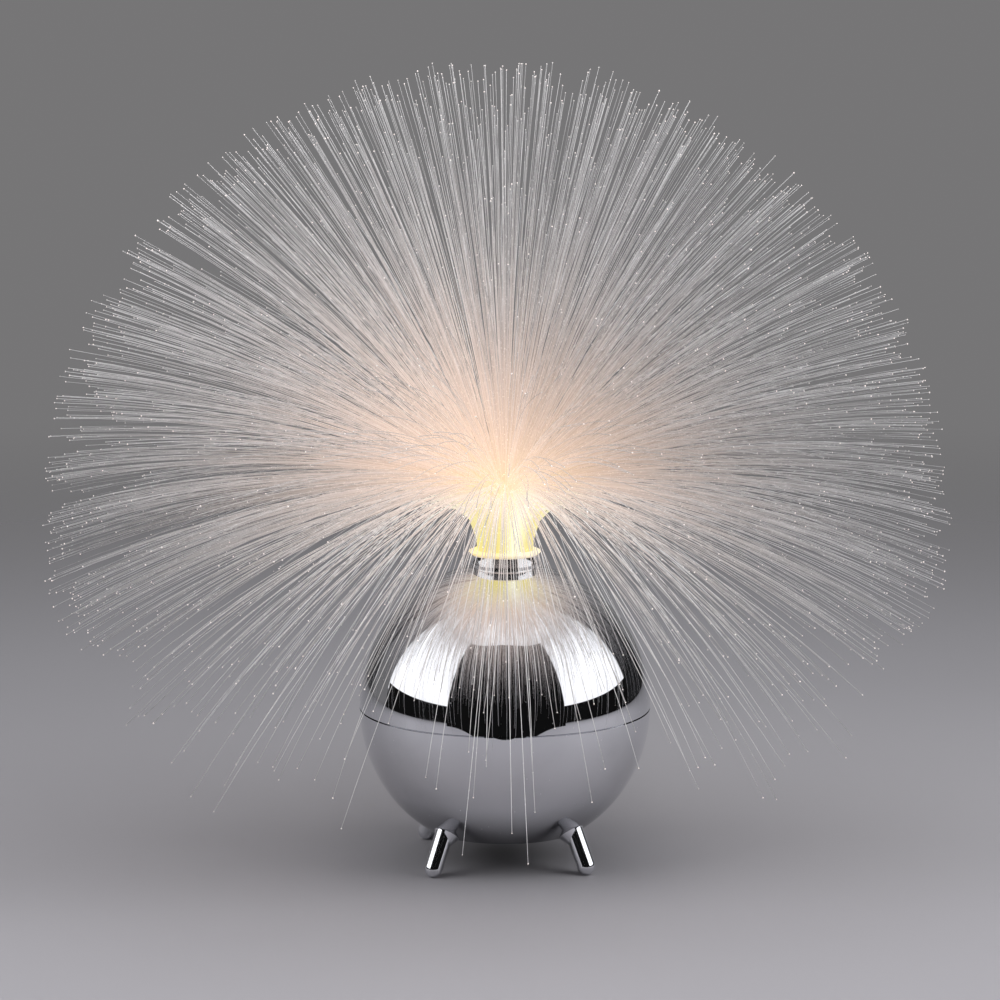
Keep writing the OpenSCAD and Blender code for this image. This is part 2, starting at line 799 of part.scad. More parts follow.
module switch_case() {
    wall = 1.2;
    stem_w = knob_w / 2 + knob_gap;
    color([0.1, 0.1, 0.11]) switch_frame() difference() {
        union() {
            translate([-case_len / 2, case_face - case_depth, -case_w / 2])
                cube([case_len, case_depth, case_w]);
            translate([-switch_screw_at - 3, case_face - 2 * ear_t, -2.6])
                cube([2 * switch_screw_at + 6, ear_t, 5.2]);
        }
        translate([-slot_len / 2 - 1 - knob_gap, case_face - 5, -case_w / 2 + wall])
            cube([slot_len + 2 + 2 * knob_gap, 5 - wall, case_w - 2 * wall]);
        translate([-slot_len / 2, case_face - 2, -stem_w]) cube([slot_len, 4, 2 * stem_w]);
        for (side = [-1, 1]) translate([side * switch_screw_at, case_face - 2 * ear_t - 1, 0])
            rotate([-90, 0, 0]) cylinder(r = small_screw_r + fit, h = ear_t + 2);
    }
}

module switch_knob() {
    wall = 1.2;
    slider_h = case_w - 2 * wall - 2 * knob_gap;
    grip_y = sqrt(ball_r * ball_r - slot_len * slot_len / 4 - knob_w * knob_w / 4);
    color([0.1, 0.1, 0.11]) switch_frame() translate([knob_at, 0, 0]) union() {
        translate([-knob_len / 2 - 1, case_face - 5 + knob_gap, -slider_h / 2])
            cube([knob_len + 2, 5 - wall - 2 * knob_gap, slider_h]);
        translate([-knob_len / 2, case_face - 3, -knob_w / 2])
            cube([knob_len, ball_r + knob_out - case_face + 2, knob_w]);
        for (x = [-1.8, 0, 1.8]) translate([x - 0.3, grip_y, -knob_w / 2])
            cube([0.6, ball_r + knob_out - grip_y - 0.6, knob_w]);
    }
}

module switch_screws() {
    color("slategray") switch_frame() for (side = [-1, 1])
        translate([side * switch_screw_at, case_face - 2 * ear_t, 0]) rotate([90, 0, 0])
            screw(small_screw_r, ear_t + 2, small_head_r, small_head_h);
}

module wiring() {
    wire_r = 0.6;
    back = [0, cos(switch_drop), -sin(switch_drop)];
    tail = [0, 0, ball_z] + (case_face - case_depth) * back;
    lead = 4;
    loop_r = chassis_r + 2.5;
    board_edge = chassis_top + board_t / 2;
    can_z = bracket_top - can_h / 2;
    color("firebrick") union() {
        tube([
            [lead, bay_w / 4, tray_top], [lead, bay_w / 4, tray_top + lead],
            [lead, pillar_y, tray_top + 2 * lead],
            tail + [lead, 0, 0] - 2 * lead * back, tail + [lead, 0, 0]
        ], wire_r, 6);
        tube([
            tail - [lead, 0, 0], tail - [lead, 0, 0] - lead * back, tail + [-2 * lead, -lead, 2 * lead],
            [-2 * pillar_x, pillar_y, chassis_z - 2 * lead], [-loop_r, lead, chassis_z],
            [-loop_r, 0, board_edge + 2], [-0.8 * chassis_r, -2, board_edge],
            [-board_r - 2, 0, board_edge], [-board_r, 0, board_edge]
        ], wire_r, 6);
        tube([
            [board_r, 0, board_edge], [board_r + 2, 0, board_edge], [0.8 * chassis_r, 2, board_edge],
            [loop_r, 0, board_edge + 2], [loop_r, lead, chassis_z - 2],
            [2 * pillar_x, wheel_offset, chassis_z - lead],
            [motor_r + lead, wheel_offset, can_z], [motor_r, wheel_offset, can_z]
        ], wire_r, 6);
    }
}

upper_shell();
lower_shell();
neck_collar();
collar_nut();
foot(foot_az[0]);  // foot_front_left
foot(foot_az[1]);  // foot_front_right
foot(foot_az[2]);  // foot_rear_left
foot(foot_az[3]);  // foot_rear_right
foot_screws();
fibre_ferrule();
fibre_bundle();
fibre_spray(0);  // fibre_spray_1
fibre_spray(1);  // fibre_spray_2
fibre_spray(2);  // fibre_spray_3
fibre_spray(3);  // fibre_spray_4
fibre_spray(4);  // fibre_spray_5
fibre_spray(5);  // fibre_spray_6
wheel_frame();
gel_amber();
gel_rose();
gel_blue();
motor_shaft();
motor_can();
motor_gearbox();
motor_bracket();
bracket_screws();
chassis();
chassis_screws();
lamp_board();
lamp_lens();
reflector();
battery_tray();
battery_cell(0);  // battery_cell_1
battery_cell(1);  // battery_cell_2
battery_cell(2);  // battery_cell_3
cell_springs();
cell_contacts();
battery_door();
switch_case();
switch_knob();
switch_screws();
wiring();
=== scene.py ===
# %% [markdown]
# A table lamp whose fountain of light-guide fibres is lit from below. The rigid parts come ready from
# the CAD frame, so this notebook loads them, gives each one a finish, and then makes the one thing
# that solids can't show well: thousands of hair-thin fibres. The CAD box is kept, so that the fibres
# can be cut short to stay inside it.

# %% Load the frame
import json
import math

import bpy
import numpy as np
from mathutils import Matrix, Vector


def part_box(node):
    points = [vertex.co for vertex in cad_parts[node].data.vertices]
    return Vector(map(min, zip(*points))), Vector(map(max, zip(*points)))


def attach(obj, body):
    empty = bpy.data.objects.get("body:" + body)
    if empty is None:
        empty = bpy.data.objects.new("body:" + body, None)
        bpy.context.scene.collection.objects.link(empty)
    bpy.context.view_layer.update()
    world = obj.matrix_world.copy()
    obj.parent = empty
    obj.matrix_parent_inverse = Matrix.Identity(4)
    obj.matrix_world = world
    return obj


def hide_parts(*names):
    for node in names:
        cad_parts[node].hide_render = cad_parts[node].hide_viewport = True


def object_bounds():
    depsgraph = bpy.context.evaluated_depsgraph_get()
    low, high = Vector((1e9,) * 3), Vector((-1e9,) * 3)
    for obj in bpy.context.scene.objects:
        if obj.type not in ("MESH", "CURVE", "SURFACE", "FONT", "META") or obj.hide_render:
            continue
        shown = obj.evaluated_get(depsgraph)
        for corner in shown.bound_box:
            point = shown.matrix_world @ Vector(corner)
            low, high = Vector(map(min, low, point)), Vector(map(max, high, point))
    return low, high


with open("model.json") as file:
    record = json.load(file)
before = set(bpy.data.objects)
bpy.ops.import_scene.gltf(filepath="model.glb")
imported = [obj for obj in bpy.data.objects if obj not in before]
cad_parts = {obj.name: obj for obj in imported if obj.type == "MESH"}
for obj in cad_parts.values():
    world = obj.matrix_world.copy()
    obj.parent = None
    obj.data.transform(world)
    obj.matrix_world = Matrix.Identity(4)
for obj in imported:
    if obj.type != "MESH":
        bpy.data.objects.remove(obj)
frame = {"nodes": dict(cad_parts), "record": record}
nodes = frame["nodes"]
cad_box = [list(corner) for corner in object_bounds()]
print("nodes:", len(nodes), "CAD box:", cad_box)

# %% [markdown]
# The view is the photograph's: a long lens, a little above the ball and a little to its left. The
# ball sits low in the picture, so the camera is tilted down less than a straight look at the ball
# would need. Distance, height and lens were worked out from the ball's outline, the ellipse of its
# joint line and the places of the four feet.

# %% Camera
BALL_Z = 0.0640          # height of the ball's middle
BALL_R = 0.060


def polar(azimuth, elevation, distance):
    """A point at distance from the ball's middle: azimuth 0 is the front, -Y, and turns towards +X."""
    a, e = math.radians(azimuth), math.radians(elevation)
    return (distance * math.sin(a) * math.cos(e), -distance * math.cos(a) * math.cos(e),
            BALL_Z + distance * math.sin(e))


view_azimuth, view_elevation, view_distance = -3.8, 12.2, 1.4
focal = 3.380            # focal length, in widths of the picture
ball_right, ball_down = 0.005, 0.2055   # where the ball's middle sits, from the middle of the picture

camera_data = bpy.data.cameras.new("camera")
camera_data.sensor_width = 36
camera_data.lens = 36 * focal
camera_data.clip_end = 50
camera = bpy.data.objects.new("camera", camera_data)
camera.location = polar(view_azimuth, view_elevation, view_distance)
tilt = view_elevation - math.degrees(math.atan(ball_down / focal))
turn = view_azimuth + math.degrees(math.atan(ball_right / focal))
camera.rotation_euler = (math.radians(90 - tilt), 0, math.radians(turn))
bpy.context.scene.collection.objects.link(camera)
bpy.context.scene.camera = camera
bpy.context.scene.view_settings.view_transform = "Standard"
print("camera tilt:", round(tilt, 2))

# %% [markdown]
# Finishes are written as expressions. A Value stands for one socket, and its operators add Math
# nodes, so "1 - mask" is a wire and a node. A Finish is one material, and its node() method adds any
# other node: its settings first, then the numbers or links of its sockets.


# %% Shader expressions
class Value:
    """One output socket. a + b, a - b, a * b and a ** b each add a Math node."""

    def __init__(self, finish, socket):
        self.finish, self.socket = finish, socket

    def math(self, operation, *others, flip=False, clamp=False):
        terms = [self, *others]
        if flip:
            terms.reverse()
        settings = {"operation": operation, "use_clamp": clamp}
        return self.finish.node("ShaderNodeMath", settings, *terms)["Value"]

    def __add__(self, other):
        return self.math("ADD", other)

    def __sub__(self, other):
        return self.math("SUBTRACT", other)

    def __rsub__(self, other):
        return self.math("SUBTRACT", other, flip=True)

    def __mul__(self, other):
        return self.math("MULTIPLY", other)

    def __pow__(self, other):
        return self.math("POWER", other)

    __radd__ = __add__
    __rmul__ = __mul__

    def clipped(self):
        """The value held between 0 and 1."""
        return self.math("ADD", 0.0, clamp=True)

    def above(self, low, high):
        """0 below low, 1 above high, and a smooth rise between them."""
        settings = {"interpolation_type": "SMOOTHSTEP"}
        limits = {"From_Min": low, "From_Max": high}
        return self.finish.node("ShaderNodeMapRange", settings, Value=self, **limits)["Result"]


class Finish:
    """One material, made node by node."""

    def __init__(self, name):
        self.material = bpy.data.materials.new(name)
        self.material.use_nodes = True
        self.tree = self.material.node_tree
        self.tree.nodes.clear()

    def node(self, kind, settings=None, *values, **named):
        new = self.tree.nodes.new(kind)
        for key, value in (settings or {}).items():
            setattr(new, key, value)
        shown = [s for s in new.inputs if s.enabled]
        wanted = [(shown[i], v) for i, v in enumerate(values)]
        for key, value in named.items():
            wanted.append((next(s for s in shown if s.name == key.replace("_", " ")), value))
        for socket, value in wanted:
            if isinstance(value, Value):
                self.tree.links.new(value.socket, socket)
            else:
                socket.default_value = value
        return {s.name: Value(self, s) for s in new.outputs if s.enabled}

    def place(self):
        """Object coordinates, in metres, as a vector."""
        return self.node("ShaderNodeTexCoord")["Object"]

    def axes(self):
        """The three Object coordinates as values."""
        split = self.node("ShaderNodeSeparateXYZ", None, self.place())
        return split["X"], split["Y"], split["Z"]

    def noise(self, scale, detail=3.0, stretch=(1, 1, 1)):
        """Noise on Object coordinates. scale is in waves a metre, stretch multiplies it along each axis."""
        where = self.node("ShaderNodeMapping", None, Vector=self.place(), Scale=stretch)["Vector"]
        return self.node("ShaderNodeTexNoise", None, Vector=where, Scale=scale, Detail=detail)["Fac"]

    def cells(self, scale, feature="F1"):
        """Distance to the nearest of scattered points, with scale points a metre."""
        settings = {"feature": feature}
        return self.node("ShaderNodeTexVoronoi", settings, Vector=self.place(), Scale=scale)["Distance"]

    def mix(self, share, first, second):
        """first where share is 0, second where it is 1."""
        settings = {"data_type": "RGBA"}
        return self.node("ShaderNodeMix", settings, Factor=share, A=first, B=second)["Result"]

    def bump(self, height, strength, depth):
        """A normal that follows height, whose full range stands for depth metres."""
        return self.node("ShaderNodeBump", None, Strength=strength, Distance=depth, Height=height)["Normal"]

    def surface(self, **sockets):
        """The shader, from its sockets' names with _ for a blank."""
        shader = self.node("ShaderNodeBsdfPrincipled", None, **sockets)["BSDF"]
        self.node("ShaderNodeOutputMaterial", None, Surface=shader)
        return self.material


def rgb(red, green, blue):
    return (red, green, blue, 1.0)


print("shader helpers ready")

# %% [markdown]
# Plated plastic is a near-perfect mirror, and what makes it real is what disturbs the mirror a
# little: a faint orange-peel wave of the moulding, hazy patches where it was touched, hairline
# wipes and a few specks of dust. All four are kept weak, so the studio still reads in the ball.
# The shell's plating also darkens towards its underside, which is painted shade.


# %% Chrome
def chrome(name, tint, haze=0.05, peel=0.25, painted_shade_heights=None):
    """Mirror plating: roughness rises in hazy patches and along fine wipes, the normal waves slowly.

    The last argument gives the heights below which painted shade darkens the plating towards the
    underside, to half its colour at the lower one."""
    f = Finish(name)
    touched = f.noise(38, 4).above(0.50, 0.72)
    wipes = f.noise(420, 2, (1, 1, 0.06)).above(0.62, 0.74)
    specks = 1 - f.cells(260).above(0.035, 0.055)
    roughness = 0.018 + haze * touched + 0.05 * wipes * touched + 0.35 * specks
    dull = rgb(*[0.82 * channel for channel in tint])
    colour = f.mix((0.35 * touched + 0.6 * specks).clipped(), rgb(*tint), dull)
    # Painted shade: the plating is darkened towards the underside, as by the shadowed floor it mirrors.
    if painted_shade_heights:
        colour = f.mix(0.5 * (1 - f.axes()[2].above(*painted_shade_heights)), colour, rgb(0, 0, 0))
    wave = f.bump(f.noise(55, 1), peel, 0.00002)
    return f.surface(Base_Color=colour, Metallic=1.0, Roughness=roughness, Normal=wave)


chrome_shell = chrome("chrome_shell", (0.75, 0.757, 0.785), painted_shade_heights=(0.015, 0.034))
chrome_collar = chrome("chrome_collar", (0.88, 0.87, 0.86), haze=0.03)
chrome_foot = chrome("chrome_foot", (0.86, 0.87, 0.90), haze=0.06)
print("chrome finishes: 3")

# %% [markdown]
# Inside the ball are the plain working metals: zinc-plated steel, a brass gearbox and contact
# plates, and a metallised reflector. Zinc shows a fine grain of crystals, turned brass shows rings
# round its axis, and both dull a little in patches.


# %% Working metals
def metal(name, bright, dull, grain, roughness):
    """Grained metal: crystals from scattered points, with slow patches of dulling."""
    f = Finish(name)
    crystals = f.cells(grain)
    patch = f.noise(90, 4).above(0.42, 0.66)
    colour = f.mix((0.7 * patch + 0.3 * crystals).clipped(), rgb(*bright), rgb(*dull))
    rough = roughness + 0.16 * patch + 0.1 * crystals
    return f.surface(Base_Color=colour, Metallic=1.0, Roughness=rough, Normal=f.bump(crystals, 0.25, 0.00003))


def metallised(name):
    """Vacuum-plated cone: bright, with faint rings of the turned mould round Z."""
    f = Finish(name)
    rings = (f.axes()[2] * 9000).math("SINE") * 0.5 + 0.5
    return f.surface(Base_Color=f.mix(0.25 * rings, rgb(0.93, 0.93, 0.91), rgb(0.7, 0.7, 0.68)),
                     Metallic=1.0, Roughness=0.12 + 0.08 * rings, Normal=f.bump(rings, 0.2, 0.00002))


steel = metal("steel", (0.64, 0.65, 0.67), (0.42, 0.43, 0.46), 1800, 0.26)
brass = metal("brass", (0.78, 0.62, 0.32), (0.5, 0.36, 0.16), 1400, 0.24)
reflector_plating = metallised("reflector")
print("working metals: 3")

# %% [markdown]
# Moulded plastics carry the fine spark texture of their mould. Here it is a small-scale noise that
# feeds both bump and roughness, with edges and handled places a little glossier.


# %% Moulded plastics
def moulded(name, base, shade, roughness, grain=1500):
    """Textured moulded plastic: spark texture in bump and roughness, slow drift in colour."""
    f = Finish(name)
    spark = f.noise(grain, 3)
    drift = f.noise(30, 3).above(0.35, 0.7)
    colour = f.mix((0.75 * drift + 0.25 * spark).clipped(), rgb(*base), rgb(*shade))
    rough = roughness + 0.14 * spark - 0.08 * drift
    return f.surface(Base_Color=colour, Roughness=rough, Normal=f.bump(spark, 0.35, 0.00006))


dark_plastic = moulded("dark_plastic", (0.035, 0.035, 0.04), (0.06, 0.06, 0.066), 0.42)
white_plastic = moulded("white_plastic", (0.80, 0.80, 0.78), (0.70, 0.69, 0.66), 0.38)
wire_jacket = moulded("wire_jacket", (0.52, 0.05, 0.04), (0.36, 0.03, 0.03), 0.4, 2600)
print("moulded plastics: 3")

# %% [markdown]
# Each gel of the colour wheel is a thin dyed film: clear enough to see through, glossy, and a
# shade paler where light has faded it. The film lets part of the light through, so its alpha is
# below one.


# %% Gels, lens and board
def gel_film(name, dye, faded):
    """Dyed film: the dye fades in slow patches and the film is slightly rippled."""
    f = Finish(name)
    fading = f.noise(60, 3).above(0.4, 0.7)
    ripple = f.noise(140, 2)
    return f.surface(Base_Color=f.mix(fading, rgb(*dye), rgb(*faded)), Alpha=0.72 - 0.1 * fading,
                     Roughness=0.12 + 0.1 * ripple, Normal=f.bump(ripple, 0.3, 0.00005))


def lens_finish(name):
    """Lit lens of the lamp: hotter towards its middle, which is on the Z axis."""
    f = Finish(name)
    x, y, _ = f.axes()
    middle = 1 - ((x * x + y * y) ** 0.5).above(0.0004, 0.0028)
    glow = f.mix(middle, rgb(1.0, 0.72, 0.42), rgb(1.0, 0.95, 0.82))
    return f.surface(Base_Color=rgb(0.95, 0.93, 0.86), Roughness=0.08 + 0.06 * f.noise(900, 2),
                     Emission_Color=glow, Emission_Strength=2.0)


def board_finish(name):
    """Circuit board: solder mask, with straight tracks and round pads in tinned copper."""
    f = Finish(name)
    track = (f.axes()[0] * 2600).math("SINE").above(0.86, 0.93) * f.noise(240, 1).above(0.48, 0.5)
    pads = 1 - f.cells(420).above(0.16, 0.19)
    copper = track.math("MAXIMUM", pads)
    weave = f.noise(3200, 2, (1, 0.3, 1))
    mask = f.mix(weave, rgb(0.02, 0.16, 0.06), rgb(0.04, 0.24, 0.1))
    return f.surface(Base_Color=f.mix(copper, mask, rgb(0.72, 0.7, 0.66)), Metallic=0.9 * copper,
                     Roughness=0.34 - 0.1 * copper, Normal=f.bump(copper, 0.5, 0.00008))


def cell_finish(name, half_length):
    """A dry cell along X: plain shrunk sleeve, bare metal on both ends and a band before one end."""
    f = Finish(name)
    away = f.axes()[0].math("ABSOLUTE")
    end = away.above(half_length - 0.0016, half_length - 0.0012)
    band = away.above(half_length - 0.0085, half_length - 0.0082)
    creases = f.noise(500, 2, (0.1, 1, 1))
    sleeve = f.mix(band, rgb(0.05, 0.13, 0.28), rgb(0.55, 0.57, 0.6))
    return f.surface(Base_Color=f.mix(end, sleeve, rgb(0.74, 0.74, 0.72)), Metallic=0.95 * end,
                     Roughness=0.3 + 0.08 * creases, Normal=f.bump(creases, 0.3, 0.00004))


amber_gel = gel_film("amber_gel", (0.95, 0.42, 0.03), (1.0, 0.62, 0.16))
rose_gel = gel_film("rose_gel", (0.88, 0.10, 0.22), (0.95, 0.34, 0.42))
blue_gel = gel_film("blue_gel", (0.05, 0.16, 0.82), (0.2, 0.36, 0.9))
lamp_lens = lens_finish("lamp_lens")
circuit_board = board_finish("circuit_board")
cell_low, cell_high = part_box("battery_cell_1")
cell_jacket = cell_finish("cell_jacket", 0.5 * (cell_high.x - cell_low.x))
print("half length of a cell:", round(0.5 * (cell_high.x - cell_low.x), 4))

# %% [markdown]
# The ends of the fibres, potted in their sleeve, are lit by the wheel: the left half stands over
# the amber gel and the right half over the open window. The same two colours climb the fibres, so
# they are kept in one place, here.

# %% Lit bundle
AMBER = np.array([1.0, 0.84, 0.20])
WARM_WHITE = np.array([1.0, 0.97, 0.64])
PEACH = np.array([1.0, 0.69, 0.51])
PEARL = np.array([0.95, 0.95, 0.96])


def bundle_finish(name):
    """Packed fibre ends: scattered points make the ends, x picks amber on the left, white on the right."""
    f = Finish(name)
    right = f.axes()[0].above(-0.002, 0.003)
    ends = f.cells(1600)
    glow = f.mix(right, rgb(*AMBER), rgb(*WARM_WHITE))
    lit = f.mix((ends * 1.2).clipped(), glow, rgb(0.5, 0.3, 0.1))
    return f.surface(Base_Color=rgb(0.9, 0.86, 0.78), Roughness=0.3 + 0.2 * ends,
                     Emission_Color=lit, Emission_Strength=1.6)


def sleeve_finish(name):
    """Clear moulded sleeve: it glows as the bundle inside it does, a little unevenly.

    Its flow lines run round Z."""
    f = Finish(name)
    x, _, z = f.axes()
    glow = f.mix(x.above(-0.006, 0.006), rgb(1.0, 0.84, 0.36), rgb(1.0, 0.95, 0.70))
    cloud = f.noise(260, 3)
    lit = f.mix(0.35 * cloud, glow, rgb(1.0, 0.66, 0.34))
    flow = (z * 7000 + cloud * 3).math("SINE") * 0.5 + 0.5
    return f.surface(Base_Color=rgb(0.55, 0.52, 0.44), Roughness=0.16 + 0.14 * cloud, Emission_Color=lit,
                     Emission_Strength=0.72, Normal=f.bump(flow, 0.2, 0.00004))


lit_fibre = bundle_finish("lit_fibre")
clear_sleeve = sleeve_finish("clear_sleeve")
finishes = {
    "chrome_shell": chrome_shell, "chrome_collar": chrome_collar, "chrome_foot": chrome_foot,
    "steel": steel, "brass": brass, "dark_plastic": dark_plastic, "white_plastic": white_plastic,
    "lit_fibre": lit_fibre, "clear_sleeve": clear_sleeve, "amber_gel": amber_gel,
    "rose_gel": rose_gel, "blue_gel": blue_gel, "circuit_board": circuit_board,
    "lamp_lens": lamp_lens, "reflector": reflector_plating,
    "cell_jacket": cell_jacket, "wire_jacket": wire_jacket,
}
dressed = 0
for part in frame["record"]["subparts"]:
    if part["material_slot"] in finishes:
        mesh = nodes[part["node"]].data
        mesh.materials.clear()
        mesh.materials.append(finishes[part["material_slot"]])
        dressed += 1
print("CAD nodes dressed:", dressed)

# %% [markdown]
# The spray. Each fibre leaves the potted bundle upright, leans over within a few centimetres, and
# then sags under its own weight, the more the flatter it lies. A path is therefore one angle from
# the vertical as a function of the distance along the fibre, and its points are the running sum of
# that angle's sine and cosine. All paths are worked out together, as one array.

# %% Paths of the fibres
FIBRES = 3200
POINTS = 15
ROOT_Z = 0.1268
ROOT_R = 0.0113
LONGEST = 0.2045
BEND = 0.052
GOLDEN = math.radians(137.50776)
CONE_SHARE = 0.94        # share of the fibres inside the even cone
CONE_SPAN = 1.17         # one minus the cosine of the lean at the cone's edge
FRINGE_LEAN = math.radians(140)
SCATTER = 2.2            # random part of the lean, in degrees
SWERVE = 3.0             # random sideways turn by the tip, in degrees
TUFTS = FIBRES // 4
PULL = (0.15, 0.6)       # least and greatest share of the way to a tuft
CUT = 0.055              # greatest share by which a fibre is cut short
RAGGED_LEAN = 1.65       # lean from which the fringe gets ragged
MARGIN = 0.0006          # kept free inside the CAD box
FLOOR_GAP = 0.0035       # kept free over the floor
rng = np.random.default_rng(11)


def leans(share):
    """Lean after the bend, from a fibre's share of the bundle: even over a cone, then a thinning fringe."""
    edge = np.arccos(1 - CONE_SPAN)
    inner = np.arccos(1 - CONE_SPAN * np.minimum(share / CONE_SHARE, 1))
    fringe = edge + (FRINGE_LEAN - edge) * np.clip((share - CONE_SHARE) / (1 - CONE_SHARE), 0, 1) ** 1.5
    return np.where(share < CONE_SHARE, inner, fringe)


def gathered(lean, azimuth, tufts, pull):
    """Draws directions together into tufts: each moves a part of the way to the nearest tuft's direction."""
    def heads(l, a):
        return np.stack([np.sin(l) * np.cos(a), np.sin(l) * np.sin(a), np.cos(l)], -1)

    own = heads(lean, azimuth)
    picked = np.sort(rng.choice(len(lean), tufts, replace=False))
    nearest = picked[np.argmax(own @ own[picked].T, axis=1)]
    drawn = own + pull[:, None] * (own[nearest] - own)
    flat = np.hypot(drawn[:, 0], drawn[:, 1])
    return np.arctan2(flat, drawn[:, 2]), np.arctan2(drawn[:, 1], drawn[:, 0])


def sag(lean):
    """Angle that a fibre adds by its tip: it grows with the sine of its lean."""
    return np.radians(4 + 17 * np.sin(lean) ** 1.5)


def paths(lean, azimuth, length, root, swerve):
    """Points (fibre, step, xyz) of every path, and each point's distance s along its fibre.

    angle = lean * ease(s / BEND) + sag * (s / length) ** 1.25, summed along s."""
    s = np.linspace(0, 1, POINTS) ** 1.25 * length[:, None]
    ease = np.clip(s / BEND, 0, 1)
    angle = lean[:, None] * ease * ease * (3 - 2 * ease) + sag(lean)[:, None] * (s / length[:, None]) ** 1.25
    side = azimuth[:, None] + swerve[:, None] * (s / length[:, None]) ** 2
    step = np.diff(s, axis=1)
    middle = 0.5 * (angle[:, 1:] + angle[:, :-1])
    turned = 0.5 * (side[:, 1:] + side[:, :-1])
    moves = np.stack([np.sin(middle) * np.cos(turned), np.sin(middle) * np.sin(turned), np.cos(middle)], -1)
    start = np.zeros((len(lean), 1, 3))
    points = np.concatenate([start, np.cumsum(moves * step[..., None], axis=1)], axis=1)
    return points + root[:, None, :], s


order = np.arange(FIBRES)
share = (order + 0.5) / FIBRES
azimuth = order * GOLDEN
lean = leans(share) + np.radians(rng.normal(0, SCATTER, FIBRES))
lean, azimuth = gathered(np.abs(lean), azimuth, TUFTS, rng.uniform(*PULL, FIBRES))
length = LONGEST * (1 - CUT * rng.random(FIBRES) ** 1.6)
ragged = np.clip((lean - RAGGED_LEAN) / 0.5, 0, 1)
length *= 1 - ragged * (0.02 + 0.20 * rng.random(FIBRES))
beside = np.cos(azimuth)         # the spray is a little narrower at its right
length *= 1 - np.sin(lean) * np.where(beside > 0, 0.055, 0.012) * np.abs(beside)
root = np.stack([ROOT_R * np.sqrt(share) * np.cos(azimuth), ROOT_R * np.sqrt(share) * np.sin(azimuth),
                 np.full(FIBRES, ROOT_Z)], -1)
swerve = np.radians(rng.normal(0, SWERVE, FIBRES))

low, high = np.array(cad_box[0]) + MARGIN, np.array(cad_box[1]) - MARGIN
for _ in range(4):
    strands, along = paths(lean, azimuth, length, root, swerve)
    tips = strands[:, -1]
    room = np.where(tips > 0, high, low)
    over = np.max(np.where(np.abs(tips) > np.abs(room), np.abs(tips - room), 0), axis=1)
    under = np.maximum(0, FLOOR_GAP - strands[..., 2].min(axis=1))
    length = length - over - under
clear = np.linalg.norm(strands - np.array([0, 0, BALL_Z]), axis=-1)[:, 4:].min() - BALL_R
print("fibres:", FIBRES, "least distance from the ball:", round(float(clear), 4), "tips reach",
      tips.min(0).round(3), tips.max(0).round(3))

# %% [markdown]
# A fibre is a thin tube of four sides, so the whole spray stays light enough to turn and export.
# Its tip is a tiny eight-faced bead, because a light guide leaks its light at the cut end and shows
# there as a dot. The colour of that light is worked out for every point and kept on the mesh as an
# attribute: amber or white at the root, a peach haze round it, and a spark at the tip.

# %% Tubes and beads
SIDES = 4
FIBRE_R = 0.00015
BEAD_R = (0.00020, 0.00036)
BEAD_CORNERS = 6
ASKEW = [0.31, 0.52, 0.79]       # any direction that no path follows
WEDGE_START = math.pi / 12       # the CAD's six groups of strands start 15 degrees past +X
CORE_REACH = 0.030       # distance from the root at which the lit core has faded
HAZE_REACH = 0.083       # the same for the haze round it
HAZE_LEVEL = 0.78
SHADE_REACH = 0.06       # the roots, deep in the spray, are dark up to about here


def rings(points, radius):
    """Corners (fibre, step, side, xyz) of tubes: each step's circle is square to the path there."""
    ahead = np.gradient(points, axis=1)
    ahead /= np.linalg.norm(ahead, axis=-1, keepdims=True)
    across = np.cross(ahead, ASKEW)
    across /= np.linalg.norm(across, axis=-1, keepdims=True)
    over = np.cross(across, ahead)
    turn = 2 * math.pi * np.arange(SIDES) / SIDES
    circle = np.cos(turn)[:, None] * across[..., None, :] + np.sin(turn)[:, None] * over[..., None, :]
    return points[..., None, :] + radius[..., None, None] * circle


def tube_faces(count, steps):
    """Four-cornered faces between neighbouring rings of every tube, plus both end caps."""
    base = np.arange(count)[:, None, None] * steps * SIDES
    ring = np.arange(steps - 1)[None, :, None] * SIDES
    k = np.arange(SIDES)[None, None, :]
    a, b = base + ring + k, base + ring + (k + 1) % SIDES
    sides = np.stack([a, a + SIDES, b + SIDES, b], -1).reshape(-1, 4)
    first = base[:, 0, :] + np.arange(SIDES)
    return np.concatenate([sides, first, first[:, ::-1] + (steps - 1) * SIDES])


def beads(centres, radius):
    """Corners and triangles of one eight-faced bead at each centre."""
    corner = np.array([[1, 0, 0], [0, 1, 0], [-1, 0, 0], [0, -1, 0], [0, 0, 1], [0, 0, -1]])
    face = np.array([[0, 1, 4], [1, 2, 4], [2, 3, 4], [3, 0, 4],
                     [1, 0, 5], [2, 1, 5], [3, 2, 5], [0, 3, 5]])
    verts = centres[:, None, :] + radius[:, None, None] * corner
    first = np.arange(len(centres))[:, None, None] * BEAD_CORNERS
    return verts.reshape(-1, 3), (first + face).reshape(-1, 3)


def light_along(s, x_root, lean, azimuth):
    """Emitted colour at each point: core falls off with the distance from the root, haze more slowly.

    The haze is whiter on fibres that lean past the level, and reaches further along those at the front."""
    right = np.clip(0.5 + x_root / 0.004, 0, 1)[:, None, None]
    white = np.exp(-((x_root - 0.0034) / 0.0034) ** 2)[:, None, None]
    low = np.clip((lean - 1.35) / 0.7, 0, 1)[:, None, None]
    core = np.exp(-(s / CORE_REACH) ** 2.2)[..., None]
    front = np.clip(-np.sin(azimuth) * np.sin(lean), 0, 1)[:, None, None] ** 2
    reach = HAZE_REACH - 0.018 * right + low * (0.004 + 0.012 * right) + 0.038 * front
    haze = np.exp(-(s[..., None] / reach) ** 1.8) * (1 - 0.9 * core)
    hot = (0.72 + 0.18 * white) * (AMBER + white * (WARM_WHITE - AMBER))
    return core * hot + HAZE_LEVEL * haze * (PEACH + low * (PEARL - PEACH))


